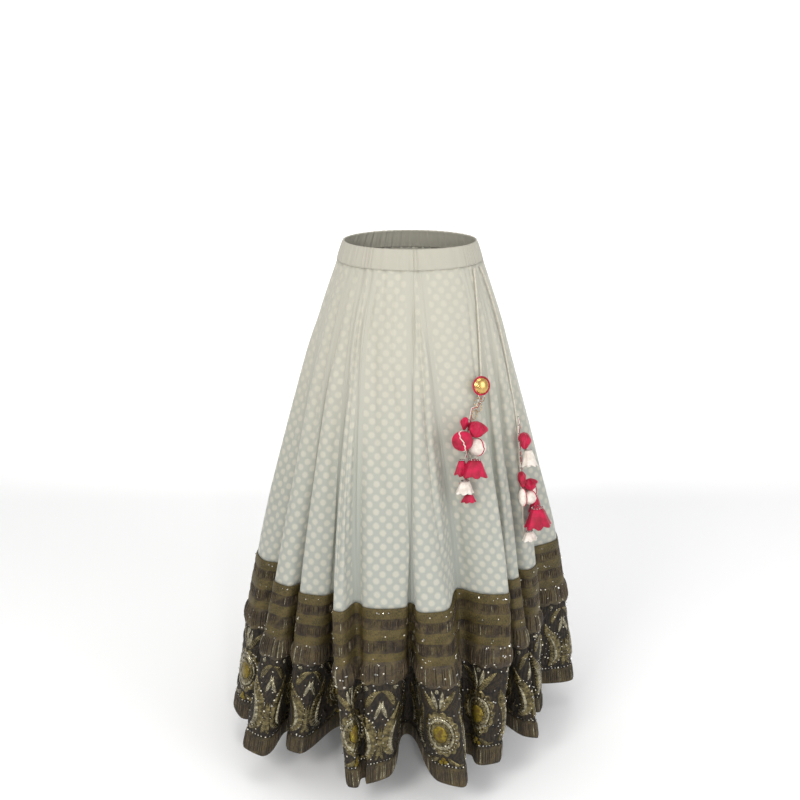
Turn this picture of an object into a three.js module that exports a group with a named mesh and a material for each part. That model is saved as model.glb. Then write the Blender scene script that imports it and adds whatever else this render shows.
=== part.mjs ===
// A lehenga: a floor-length flared skirt of eighteen kalis (gores) gathered to a waistband, with a
// dark border of lace, floral ground and hem trim, and two dori (drawstring ends) with latkans.
// Millimetres and degrees. The origin is the centre of the waist opening, at the waistband's top,
// +Z is up and the front faces -Y. An azimuth is 0 at the front and grows towards +X.
import * as THREE from "three";

// ---- Heights of the skirt, from the waistband's top down ----
const BAND_HEIGHT = 39;
const HIP_Z = -190;
const BORDER_TOP_Z = -642;
const HEM_Z = -1001;
const LACE_HEIGHT = 146;
const TRIM_HEIGHT = 38;

// ---- Half width (X) and half depth (Y) of the cloth's outer form ----
const WAIST = { halfWidth: 130, halfDepth: 95 };
const HIP = { halfWidth: 193, halfDepth: 160 };
const HIP_RELIEF = 0.07; // the folds' relief at the hip, as a share of that at the border's top

// ---- Walls and gaps ----
const BAND_THICKNESS = 3;
const KALI_THICKNESS = 1.5;
const BORDER_THICKNESS = 2;
const APPLIED_THICKNESS = 1.2;
const SEAM_GAP = 0.3;
const STAND_OFF = 0.35; // from the border's face to what is sewn on it

// ---- Where the valley on each fold's +azimuth side starts at the waistband ----
const WAIST_VALLEYS = [
  -60, -47, -39, 2, 8, 56, 66, 78, 100, 121, 142, 162, 183, 204, 225, 245, 264, 282,
];
// A fold's five spline controls there, as shares of the way from valley to valley.
const WAIST_SHARES = [0.08, 0.26, 0.5, 0.74, 0.92];

// ---- The folds at two heights: each row is a fold's crest and the valley on its +azimuth side.
// turn is how far the crest's flat faces away from its own azimuth.
const FOLD_COLUMNS = ["azimuth", "radius", "width", "turn", "valleyAzimuth", "valleyRadius"];
const BORDER_TOP_FOLDS = [
  [-50, 330, 50, 14, -44.5, 292],
  [-37, 316, 62, 22, -30, 284],
  [-23.3, 345, 24, 8, -19.5, 302],
  [-8.6, 308, 84, 10, 0.2, 286],
  [7.8, 321, 66, 0, 21.5, 250],
  [33.5, 301, 68, -32, 43, 250],
  [47.5, 284, 30, -10, 52.5, 246],
  [60, 287, 42, -6, 73, 250],
  [90, 313, 62, 0, 101, 272],
  [112, 315, 58, 8, 122, 268],
  [133, 309, 66, -10, 144, 262],
  [155, 312, 56, 6, 165, 270],
  [176, 305, 70, 0, 187, 262],
  [198, 312, 58, -8, 208, 268],
  [219, 308, 64, 10, 230, 262],
  [241, 315, 56, 4, 251, 270],
  [263, 314, 64, -6, 274, 272],
  [287, 322, 60, 6, 299, 280],
];
const HEM_FOLDS = [
  [-51, 410, 84, 15, -52, 318],
  [-42, 350, 46, 18, -38, 226],
  [-17, 384, 26, 6, -13.5, 350],
  [-10, 350, 72, 38, -1.5, 202],
  [12.5, 366, 84, -34, 22.5, 292],
  [28.5, 337, 62, -14, 47.5, 240],
  [50, 330, 46, -62, 61, 246],
  [68, 306, 42, 6, 80, 250],
  [92, 368, 62, 0, 104, 262],
  [115, 372, 74, 12, 127, 250],
  [137, 364, 88, -16, 148, 244],
  [158, 370, 70, 10, 169, 256],
  [180, 366, 90, 0, 191, 240],
  [202, 370, 72, -12, 212, 254],
  [223, 364, 82, 10, 234.5, 244],
  [245, 372, 72, 4, 255, 256],
  [266, 368, 84, -10, 277, 262],
  [289, 388, 80, 8, 300, 284],
];
const CREST_BULGE = 0.07; // how far a crest's middle stands out, as a share of its width
const VALLEY_WIDTH = { top: 15, hem: 34 };
// Where along a fold its columns of points lie; a fold is 5 spline spans, with a seam at each end.
const CONTROLS_PER_FOLD = 5;
const FOLD_COLUMN_SPANS = [0, 0.5, 1.2, 1.7, 2.5, 3.3, 3.8, 4.5];
const KALI_ROW_HEIGHTS = [-BAND_HEIGHT, -110, HIP_Z, -325, -480, BORDER_TOP_Z];
const FOLDS_PER_BORDER_PIECE = 2;
const FOLDS_PER_APPLIED_PIECE = 3;
const STRIPS_START_FOLD = 1; // the border's lengths start one fold along from the first kali

// ---- Dori and latkans ----
const DORI_DIAMETER = 4;
const DORI_STEP = 11;
// The routes lie on the cloth, from under the waistband to the lowest piece of each latkan.
const FRONT_DORI_ROUTE = [
  [121, -67, -43], [123, -71, -57], [125, -77, -74], [126.5, -84, -92], [128, -92, -112],
  [129.5, -99, -133], [131, -106, -155], [132.5, -113.5, -179], [134, -122, -205],
  [135, -131, -231], [134.5, -143, -255], [130, -157, -274], [123, -169, -292],
  [118, -178, -311], [115.5, -186, -334], [114, -194, -360], [113, -201, -386],
  [112, -207.5, -412], [111, -214.5, -444],
];
const SIDE_DORI_ROUTE = [
  [134, -50, -43], [141, -49, -58], [149.5, -49, -80], [158, -50.5, -105], [167, -53, -134],
  [175.5, -56.5, -164], [183, -61, -196], [190, -66, -228], [196, -72, -260], [202, -79, -292],
  [207, -87, -322], [211, -97, -350], [214, -106.5, -376], [216, -116, -402],
  [217.5, -124.5, -430], [219, -132, -458], [221, -138.5, -486], [223, -144, -514],
  [225, -148.5, -540], [226.5, -152.5, -558],
];
// A latkan's pieces: the height of each one's top, and how far it is to the dori's +azimuth side.
const LATKAN_COLUMNS = ["name", "shape", "radius", "length", "top", "side", "look"];
const FRONT_LATKAN = [
  ["petal_left", "petal", 6, 22, -308, -14, "pink"],
  ["petal_right", "petal", 14, 28, -311, 9, "pink"],
  ["ball", "ball", 19, 36, -330, -22, "pink"],
  ["pompom", "ball", 16, 31, -342, 15, "ivory"],
  ["bell", "bell", 28, 33, -375, 4, "pink"],
  ["white_bell", "bell", 18, 24, -413, -8, "ivory"],
  ["tip", "bell", 15, 16, -440, 3, "pink"],
];
const SIDE_LATKAN = [
  ["bud", "petal", 9, 30, -364, -3, "pink"],
  ["flower", "bell", 17, 33, -396, 5, "ivory"],
  ["petal_left", "petal", 6, 28, -435, -13, "pink"],
  ["petal_right", "petal", 11, 22, -451, 12, "pink"],
  ["pompom", "ball", 12, 26, -475, 12, "ivory"],
  ["pompom_left", "ball", 7, 34, -467, -10, "ivory"],
  ["pompom_right", "ball", 8, 30, -462, 33, "ivory"],
  ["bell", "bell", 27, 38, -505, 12, "pink"],
  ["white_bell", "bell", 15, 18, -550, -2, "ivory"],
];
const LATKAN_FLATNESS = 0.7; // a piece's depth against the cloth, as a share of its width
const LATKAN_CLEARANCE = 1;
const BUTTON = { radius: 17, height: 11, z: -250 };

// ---- Materials ----
const finish = (color, roughness, metalness = 0) => ({ color, roughness, metalness });
const FINISHES = {
  ivoryCloth: finish(0xe9e4d6, 0.75),
  borderGround: finish(0x2a211b, 0.85),
  antiqueLace: finish(0x7d6638, 0.5, 0.4),
  hemTrim: finish(0x5a4326, 0.55, 0.3),
  cord: finish(0xe6dcc6, 0.7),
  brass: finish(0xc69a4a, 0.3, 1),
  pink: finish(0xd9547f, 0.7),
  ivory: finish(0xf1ece2, 0.85),
};

// ---- Sections of the cloth: five spline controls for each fold ----
const radians = THREE.MathUtils.degToRad;
const outward = (azimuth) => new THREE.Vector2(Math.sin(radians(azimuth)), -Math.cos(radians(azimuth)));
const along = (azimuth) => new THREE.Vector2(Math.cos(radians(azimuth)), Math.sin(radians(azimuth)));
const azimuthOf = (point) => THREE.MathUtils.radToDeg(Math.atan2(point.x, -point.y));
const polar = (azimuth, radius) => outward(azimuth).multiplyScalar(radius);

function ovalRadius({ halfWidth, halfDepth }, azimuth) {
  const { x, y } = outward(azimuth);
  return 1 / Math.hypot(x / halfWidth, y / halfDepth);
}

function foldedSection(rows, valleyWidth) {
  const folds = rows.map((row) => Object.fromEntries(row.map((value, i) => [FOLD_COLUMNS[i], value])));
  return folds.flatMap((fold, i) => {
    const before = folds.at(i - 1);
    const crest = polar(fold.azimuth, fold.radius);
    const flat = along(fold.azimuth + fold.turn);
    const crestAt = (share) => crest.clone().addScaledVector(flat, share * fold.width);
    const valleyAt = ({ valleyAzimuth, valleyRadius }, side) =>
      polar(valleyAzimuth, valleyRadius).addScaledVector(along(valleyAzimuth), (side * valleyWidth) / 2);
    const middle = crestAt(0).addScaledVector(outward(fold.azimuth + fold.turn), CREST_BULGE * fold.width);
    return [valleyAt(before, 1), crestAt(-0.5), middle, crestAt(0.5), valleyAt(fold, -1)];
  });
}

const waistAzimuths = () => WAIST_VALLEYS.flatMap((valley, i) => {
  const before = WAIST_VALLEYS.at(i - 1) - (i === 0 ? 360 : 0);
  return WAIST_SHARES.map((share) => before + share * (valley - before));
});

const nearest = (azimuth, reference) => azimuth + 360 * Math.round((reference - azimuth) / 360);

function makeStations() {
  const atWaist = waistAzimuths();
  const topSection = foldedSection(BORDER_TOP_FOLDS, VALLEY_WIDTH.top);
  const hemSection = foldedSection(HEM_FOLDS, VALLEY_WIDTH.hem);
  const waistSection = atWaist.map((azimuth) => polar(azimuth, ovalRadius(WAIST, azimuth)));
  const hipShare = HIP_Z / BORDER_TOP_Z;
  const topForm = 305; // the border top's usual crest radius, which its relief is measured from
  const hipSection = topSection.map((point, i) => {
    const topAzimuth = nearest(azimuthOf(point), atWaist[i]);
    const azimuth = THREE.MathUtils.lerp(atWaist[i], topAzimuth, hipShare);
    return polar(azimuth, ovalRadius(HIP, azimuth) + HIP_RELIEF * (point.length() - topForm));
  });
  return [
    { z: 0, section: waistSection },
    { z: HIP_Z, section: hipSection },
    { z: BORDER_TOP_Z, section: topSection },
    { z: HEM_Z, section: hemSection },
  ];
}

const stations = makeStations();
const controlCount = stations[0].section.length;

// One control's place at height z: a cubic through the stations, smooth at each.
function controlAt(index, z) {
  const last = stations.length - 1;
  const point = (s) => stations[s].section[index];
  const slope = (s) => {
    const lower = Math.min(s + 1, last);
    const upper = Math.max(s - 1, 0);
    return point(lower).clone().sub(point(upper)).divideScalar(stations[lower].z - stations[upper].z);
  };
  const below = Math.max(1, stations.findIndex((station) => station.z <= z + 1e-9));
  const above = below - 1;
  const run = stations[below].z - stations[above].z;
  const t = (z - stations[above].z) / run;
  const place = point(above).clone().multiplyScalar((1 + 2 * t) * (1 - t) ** 2);
  place.addScaledVector(point(below), t * t * (3 - 2 * t));
  place.addScaledVector(slope(above), run * t * (1 - t) ** 2);
  return place.addScaledVector(slope(below), run * t * t * (t - 1));
}

// The cloth's outer face at a span position u around the skirt (0 to controlCount) and height z.
function faceAt(u, z) {
  const whole = Math.floor(u);
  const t = u - whole;
  const control = (offset) => controlAt((whole + offset + 2 * controlCount) % controlCount, z);
  const place = control(-1).multiplyScalar((1 - t) ** 2 / 2);
  place.addScaledVector(control(0), 0.5 + t * (1 - t));
  place.addScaledVector(control(1), t * t / 2);
  return new THREE.Vector3(place.x, place.y, z);
}

// The face's points at height z, moved out in plan by offset so that its facets stay parallel.
// The first and last spans only give their neighbours a direction.
function offsetRow(spans, z, offset) {
  const face = spans.map((u) => faceAt(u, z));
  const normals = face.slice(1).map((point, i) => {
    const step = point.clone().sub(face[i]).normalize();
    return new THREE.Vector3(step.y, -step.x, 0);
  });
  return face.slice(1, -1).map((point, i) => {
    const mitre = normals[i].clone().add(normals[i + 1]);
    return point.addScaledVector(mitre, offset / (1 + normals[i].dot(normals[i + 1])));
  });
}

// ---- Walls: closed solids between an outer and an inner grid of points ----
function wall(outer, inner, isRing) {
  const [rows, columns] = [outer.length, outer[0].length];
  const at = (side, row, column) => (side * rows + row) * columns + (column % columns);
  const index = [];
  const quad = (a, b, c, d) => index.push(a, b, c, a, c, d);
  const spans = isRing ? columns : columns - 1;
  for (let column = 0; column < spans; column++) {
    const next = column + 1;
    for (let row = 0; row < rows - 1; row++) {
      quad(at(0, row, column), at(0, row + 1, column), at(0, row + 1, next), at(0, row, next));
      quad(at(1, row, column), at(1, row, next), at(1, row + 1, next), at(1, row + 1, column));
    }
    quad(at(0, 0, next), at(1, 0, next), at(1, 0, column), at(0, 0, column));
    const low = rows - 1;
    quad(at(0, low, column), at(1, low, column), at(1, low, next), at(0, low, next));
  }
  if (!isRing) {
    for (let row = 0; row < rows - 1; row++) {
      const end = columns - 1;
      quad(at(0, row, 0), at(1, row, 0), at(1, row + 1, 0), at(0, row + 1, 0));
      quad(at(0, row, end), at(0, row + 1, end), at(1, row + 1, end), at(1, row, end));
    }
  }
  const geometry = new THREE.BufferGeometry().setFromPoints([...outer.flat(), ...inner.flat()]);
  geometry.setIndex(index);
  return geometry;
}

// A stretch of cloth over some folds, between heights, from rise off the face to thickness inside.
function clothGrids({ firstFold, foldCount, heights, rise, thickness }) {
  const foldSpans = (fold) => FOLD_COLUMN_SPANS.map((span) => fold * CONTROLS_PER_FOLD + span);
  const folds = Array.from({ length: foldCount }, (_, i) => foldSpans(firstFold + i));
  const before = foldSpans(firstFold - 1).at(-1);
  const after = foldSpans(firstFold + foldCount).slice(0, 2);
  const spans = [before, ...folds.flat(), ...after];
  const layer = (offset) => heights.map((z) => {
    const points = offsetRow(spans, z, offset);
    const pullIn = (edge, towards) => {
      const step = points.at(towards).clone().sub(points.at(edge)).setLength(SEAM_GAP / 2);
      points.at(edge).add(step);
    };
    pullIn(0, 1);
    pullIn(-1, -2);
    return points;
  });
  return [layer(rise), layer(rise - thickness)];
}

const skirt = new THREE.Group();

function addMesh(name, geometry, look) {
  const mesh = new THREE.Mesh(geometry, new THREE.MeshStandardMaterial(FINISHES[look]));
  mesh.name = name;
  skirt.add(mesh);
  return mesh;
}

const numbered = (name, i) => `${name}_${String(i + 1).padStart(2, "0")}`;

function addWaistband() {
  const columns = 72;
  const spans = Array.from({ length: columns + 2 }, (_, i) => ((i - 1) * controlCount) / columns);
  const heights = [0, -BAND_HEIGHT / 2, -BAND_HEIGHT + SEAM_GAP];
  const ring = (offset) => heights.map((z) => offsetRow(spans, z, offset));
  addMesh("waistband", wall(ring(1.2), ring(1.2 - BAND_THICKNESS), true), "ivoryCloth");
}

function addKalis() {
  const heights = KALI_ROW_HEIGHTS.slice(0, -1).concat(BORDER_TOP_Z + SEAM_GAP);
  HEM_FOLDS.forEach((_, i) => {
    const sizes = { firstFold: i, foldCount: 1, heights, rise: 0, thickness: KALI_THICKNESS };
    addMesh(numbered("kali", i), wall(...clothGrids(sizes)), "ivoryCloth");
  });
}

function addStrips(name, look, foldCount, heights, rise, thickness) {
  for (let i = 0; i * foldCount < HEM_FOLDS.length; i++) {
    const firstFold = i * foldCount + STRIPS_START_FOLD;
    const sizes = { firstFold, foldCount, heights, rise, thickness };
    addMesh(numbered(name, i), wall(...clothGrids(sizes)), look);
  }
}

function addBorder() {
  const laceRows = [BORDER_TOP_Z, BORDER_TOP_Z - LACE_HEIGHT];
  const trimRows = [HEM_Z + TRIM_HEIGHT, HEM_Z];
  // The ground has rows at the edges of what lies on it, so their facets are parallel.
  const rows = [...laceRows, ...trimRows];
  const rise = STAND_OFF + APPLIED_THICKNESS;
  addStrips("border_ground", "borderGround", FOLDS_PER_BORDER_PIECE, rows, 0, BORDER_THICKNESS);
  addStrips("border_lace", "antiqueLace", FOLDS_PER_APPLIED_PIECE, laceRows, rise, APPLIED_THICKNESS);
  addStrips("hem_trim", "hemTrim", FOLDS_PER_APPLIED_PIECE, trimRows, rise, APPLIED_THICKNESS);
}

// ---- Dori: each a plain tube along its route ----
const pathOf = (route) => new THREE.CatmullRomCurve3(route.map((place) => new THREE.Vector3(...place)));

function addDori(name, route) {
  const path = pathOf(route);
  const sides = 8;
  const corner = (i) => new THREE.Vector2(Math.cos((i * 2 * Math.PI) / sides), Math.sin((i * 2 * Math.PI) / sides));
  const corners = Array.from({ length: sides }, (_, i) => corner(i).multiplyScalar(DORI_DIAMETER / 2));
  const steps = Math.round(path.getLength() / DORI_STEP);
  const outline = new THREE.Shape(corners);
  addMesh(name, new THREE.ExtrudeGeometry(outline, { extrudePath: path, steps, bevelEnabled: false }), "cord");
}

// The place on a dori at height z, turned so that X is to the side, Y into the cloth and Z up it.
function placeOnDori(route, z) {
  const path = pathOf(route);
  let [above, below] = [0, 1];
  while (below - above > 1e-4) {
    const middle = (above + below) / 2;
    if (path.getPoint(middle).z > z) above = middle;
    else below = middle;
  }
  const point = path.getPoint(below);
  const up = path.getTangent(below).negate();
  const inward = new THREE.Vector3(-point.x, -point.y, 0);
  inward.addScaledVector(up, -inward.dot(up)).normalize();
  const side = new THREE.Vector3().crossVectors(inward, up);
  return { point, side, inward, turn: new THREE.Matrix4().makeBasis(side, inward, up) };
}

// ---- Latkan pieces: turned about Z, with their top at the origin ----
const BALL_STEPS = 6;
const LATKAN_PROFILES = {
  ball: Array.from({ length: BALL_STEPS + 1 }, (_, i) => {
    const angle = (i * Math.PI) / BALL_STEPS;
    return [Math.sin(angle), (1 - Math.cos(angle)) / 2];
  }),
  bell: [[0, 0], [0.32, 0.03], [0.45, 0.3], [0.7, 0.7], [1, 1], [0.8, 0.96], [0, 0.6]],
  petal: [[0, 0], [0.4, 0.02], [0.8, 0.35], [1, 0.75], [0.85, 1], [0, 0.8]],
};

function turned(shape, radius, length) {
  const outline = LATKAN_PROFILES[shape].map(([across, down], i, { length: count }) => {
    const onAxis = i === 0 || i === count - 1;
    return new THREE.Vector2(onAxis ? 0 : across * radius, -down * length);
  });
  const solid = new THREE.LatheGeometry(outline.reverse(), 14);
  return solid.rotateX(Math.PI / 2).scale(1, LATKAN_FLATNESS, 1);
}

function addLatkan(prefix, route, rows) {
  for (const row of rows) {
    const piece = Object.fromEntries(row.map((value, i) => [LATKAN_COLUMNS[i], value]));
    const mesh = addMesh(`${prefix}_${piece.name}`, turned(piece.shape, piece.radius, piece.length), piece.look);
    const { point, side, inward, turn } = placeOnDori(route, piece.top);
    const offCord = DORI_DIAMETER / 2 + LATKAN_CLEARANCE + piece.radius * LATKAN_FLATNESS;
    mesh.quaternion.setFromRotationMatrix(turn);
    mesh.position.copy(point).addScaledVector(side, piece.side).addScaledVector(inward, -offCord);
  }
}

function addButton(route) {
  const dome = [[0, 0], [1, 0], [1, 0.25], [0.82, 0.6], [0.5, 0.88], [0, 1]]
    .map(([across, up]) => new THREE.Vector2(across * BUTTON.radius, up * BUTTON.height));
  const mesh = addMesh("dori_button", new THREE.LatheGeometry(dome, 20), "brass");
  const { point, inward } = placeOnDori(route, BUTTON.z);
  const outwards = inward.clone().negate();
  mesh.quaternion.setFromUnitVectors(new THREE.Vector3(0, 1, 0), outwards);
  mesh.position.copy(point).addScaledVector(outwards, DORI_DIAMETER / 2 + LATKAN_CLEARANCE);
}

addWaistband();
addKalis();
addBorder();
addDori("dori_front", FRONT_DORI_ROUTE);
addDori("dori_side", SIDE_DORI_ROUTE);
addButton(FRONT_DORI_ROUTE);
addLatkan("latkan_front", FRONT_DORI_ROUTE, FRONT_LATKAN);
addLatkan("latkan_side", SIDE_DORI_ROUTE, SIDE_LATKAN);

export default skirt;
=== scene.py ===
"""Looks of the lehenga: a dotted ivory skirt with a dark embroidered border and two latkans."""

import math

import bmesh
import bpy
import numpy as np
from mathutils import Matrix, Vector


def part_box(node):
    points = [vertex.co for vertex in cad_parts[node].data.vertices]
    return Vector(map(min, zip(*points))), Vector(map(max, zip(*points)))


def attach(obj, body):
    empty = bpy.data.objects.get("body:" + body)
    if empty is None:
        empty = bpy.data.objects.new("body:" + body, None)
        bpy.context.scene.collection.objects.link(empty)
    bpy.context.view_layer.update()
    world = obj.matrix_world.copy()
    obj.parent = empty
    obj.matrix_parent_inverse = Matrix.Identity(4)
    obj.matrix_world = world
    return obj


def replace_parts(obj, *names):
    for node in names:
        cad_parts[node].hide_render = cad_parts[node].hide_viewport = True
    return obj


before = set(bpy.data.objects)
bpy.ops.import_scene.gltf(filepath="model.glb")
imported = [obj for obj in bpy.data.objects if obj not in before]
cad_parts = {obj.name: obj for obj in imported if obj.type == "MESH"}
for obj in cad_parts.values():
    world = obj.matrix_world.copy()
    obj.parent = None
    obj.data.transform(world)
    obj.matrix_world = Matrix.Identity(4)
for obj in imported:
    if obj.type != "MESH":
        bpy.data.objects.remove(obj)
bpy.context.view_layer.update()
MM = 0.001

# ---- The cloth's form, in millimetres and degrees, as the CAD model has it ----
HIP_Z = -190
WAIST = (130, 95)  # half width and half depth
HIP = (193, 160)
HIP_RELIEF = 0.07
TOP_FORM = 305
WAIST_VALLEYS = [-60, -47, -39, 2, 8, 56, 66, 78, 100, 121, 142, 162, 183, 204, 225, 245, 264, 282]
WAIST_SHARES = [0.08, 0.26, 0.5, 0.74, 0.92]
# A fold's crest azimuth, radius, width and turn, and the azimuth and radius of the valley after it.
BORDER_TOP_FOLDS = [
    (-50, 330, 50, 14, -44.5, 292),
    (-37, 316, 62, 22, -30, 284),
    (-23.3, 345, 24, 8, -19.5, 302),
    (-8.6, 308, 84, 10, 0.2, 286),
    (7.8, 321, 66, 0, 21.5, 250),
    (33.5, 301, 68, -32, 43, 250),
    (47.5, 284, 30, -10, 52.5, 246),
    (60, 287, 42, -6, 73, 250),
    (90, 313, 62, 0, 101, 272),
    (112, 315, 58, 8, 122, 268),
    (133, 309, 66, -10, 144, 262),
    (155, 312, 56, 6, 165, 270),
    (176, 305, 70, 0, 187, 262),
    (198, 312, 58, -8, 208, 268),
    (219, 308, 64, 10, 230, 262),
    (241, 315, 56, 4, 251, 270),
    (263, 314, 64, -6, 274, 272),
    (287, 322, 60, 6, 299, 280),
]
HEM_FOLDS = [
    (-51, 410, 84, 15, -52, 318),
    (-42, 350, 46, 18, -38, 226),
    (-17, 384, 26, 6, -13.5, 350),
    (-10, 350, 72, 38, -1.5, 202),
    (12.5, 366, 84, -34, 22.5, 292),
    (28.5, 337, 62, -14, 47.5, 240),
    (50, 330, 46, -62, 61, 246),
    (68, 306, 42, 6, 80, 250),
    (92, 368, 62, 0, 104, 262),
    (115, 372, 74, 12, 127, 250),
    (137, 364, 88, -16, 148, 244),
    (158, 370, 70, 10, 169, 256),
    (180, 366, 90, 0, 191, 240),
    (202, 370, 72, -12, 212, 254),
    (223, 364, 82, 10, 234.5, 244),
    (245, 372, 72, 4, 255, 256),
    (266, 368, 84, -10, 277, 262),
    (289, 388, 80, 8, 300, 284),
]
CREST_BULGE = 0.07
VALLEY_WIDTHS = (15, 34)  # at the border's top and at the hem
CONTROLS_PER_FOLD = 5
FOLDS = len(HEM_FOLDS)
CONTROLS = FOLDS * CONTROLS_PER_FOLD
STRIPS_START_FOLD = 1


def height(node, end):
    """The height of a node's lowest (0) or highest (1) point, in millimetres."""
    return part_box(node)[end].z / MM


BAND_BOTTOM = height("kali_01", 1)
BORDER_TOP = height("border_ground_01", 1)
LACE_BOTTOM = height("border_lace_01", 0)
TRIM_TOP = height("hem_trim_01", 1)
HEM = height("border_ground_01", 0)
LACE_HEIGHT = BORDER_TOP - LACE_BOTTOM
TRIM_HEIGHT = TRIM_TOP - HEM


def outward(azimuth):
    angle = np.radians(azimuth)
    return np.stack([np.sin(angle), -np.cos(angle)], -1)


def along(azimuth):
    angle = np.radians(azimuth)
    return np.stack([np.cos(angle), np.sin(angle)], -1)


def azimuth_of(points):
    return np.degrees(np.arctan2(points[..., 0], -points[..., 1]))


def oval_radius(oval, azimuth):
    return 1 / np.hypot(*(outward(azimuth) / oval).T)


def folded_section(folds, valley_width):
    section = []
    half = valley_width / 2
    for i, (azimuth, radius, width, turn, valley_azimuth, valley_radius) in enumerate(folds):
        crest = radius * outward(azimuth)
        flat = along(azimuth + turn) * width / 2
        middle = crest + outward(azimuth + turn) * CREST_BULGE * width
        before_azimuth, before_radius = folds[i - 1][4:]
        section.append(before_radius * outward(before_azimuth) + half * along(before_azimuth))
        section += [crest - flat, middle, crest + flat]
        section.append(valley_radius * outward(valley_azimuth) - half * along(valley_azimuth))
    return np.array(section)


def make_stations():
    """The spline controls at the waist, hip, border's top and hem: one array of all four."""
    before = np.roll(WAIST_VALLEYS, 1) - np.where(np.arange(FOLDS) == 0, 360, 0)
    gaps = np.array(WAIST_VALLEYS) - before
    at_waist = (before[:, None] + gaps[:, None] * np.array(WAIST_SHARES)).ravel()
    top = folded_section(BORDER_TOP_FOLDS, VALLEY_WIDTHS[0])
    hem = folded_section(HEM_FOLDS, VALLEY_WIDTHS[1])
    waist = oval_radius(WAIST, at_waist)[:, None] * outward(at_waist)
    top_azimuth = azimuth_of(top)
    top_azimuth += 360 * np.round((at_waist - top_azimuth) / 360)
    hip_azimuth = at_waist + (top_azimuth - at_waist) * HIP_Z / BORDER_TOP
    relief = HIP_RELIEF * (np.linalg.norm(top, axis=1) - TOP_FORM)
    hip = (oval_radius(HIP, hip_azimuth) + relief)[:, None] * outward(hip_azimuth)
    return np.stack([waist, hip, top, hem])


STATIONS = make_stations()
STATION_Z = np.array([0, HIP_Z, BORDER_TOP, HEM])


def station_slopes():
    low = np.minimum(np.arange(4) + 1, 3)
    high = np.maximum(np.arange(4) - 1, 0)
    return (STATIONS[low] - STATIONS[high]) / (STATION_Z[low] - STATION_Z[high])[:, None, None]


SLOPES = station_slopes()


def control_place(index, z):
    """The spline controls of each index at its height z: smooth cubics through the stations."""
    below = np.clip(np.searchsorted(-STATION_Z, -z), 1, 3)
    above = below - 1
    run = (STATION_Z[below] - STATION_Z[above])[..., None]
    t = (z - STATION_Z[above])[..., None] / run
    place = STATIONS[above, index] * (1 + 2 * t) * (1 - t) ** 2
    place = place + STATIONS[below, index] * t * t * (3 - 2 * t)
    place = place + SLOPES[above, index] * run * t * (1 - t) ** 2
    return place + SLOPES[below, index] * run * t * t * (t - 1)


def face(u, z):
    """The cloth's outer face at positions u around the skirt and heights z: xyz."""
    whole = np.floor(u).astype(int)
    t = (u - whole)[..., None]
    weights = ((1 - t) ** 2 / 2, 0.5 + t * (1 - t), t * t / 2)
    place = sum(w * control_place((whole + k) % CONTROLS, z) for k, w in zip((-1, 0, 1), weights))
    return np.concatenate([place, z[..., None]], -1)


def face_normal(u, z):
    """The face's outward normal, and how far one step of u goes along it."""
    across = face(u + 0.02, z) - face(u - 0.02, z)
    up = face(u, np.minimum(z + 0.5, 0)) - face(u, z - 0.5)
    normal = np.cross(across, up)
    normal /= np.linalg.norm(normal, axis=-1, keepdims=True)
    return normal, np.linalg.norm(across, axis=-1) / 0.04


def smooth(low, high, value):
    t = np.clip((value - low) / (high - low), 0, 1)
    return t * t * (3 - 2 * t)


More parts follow.
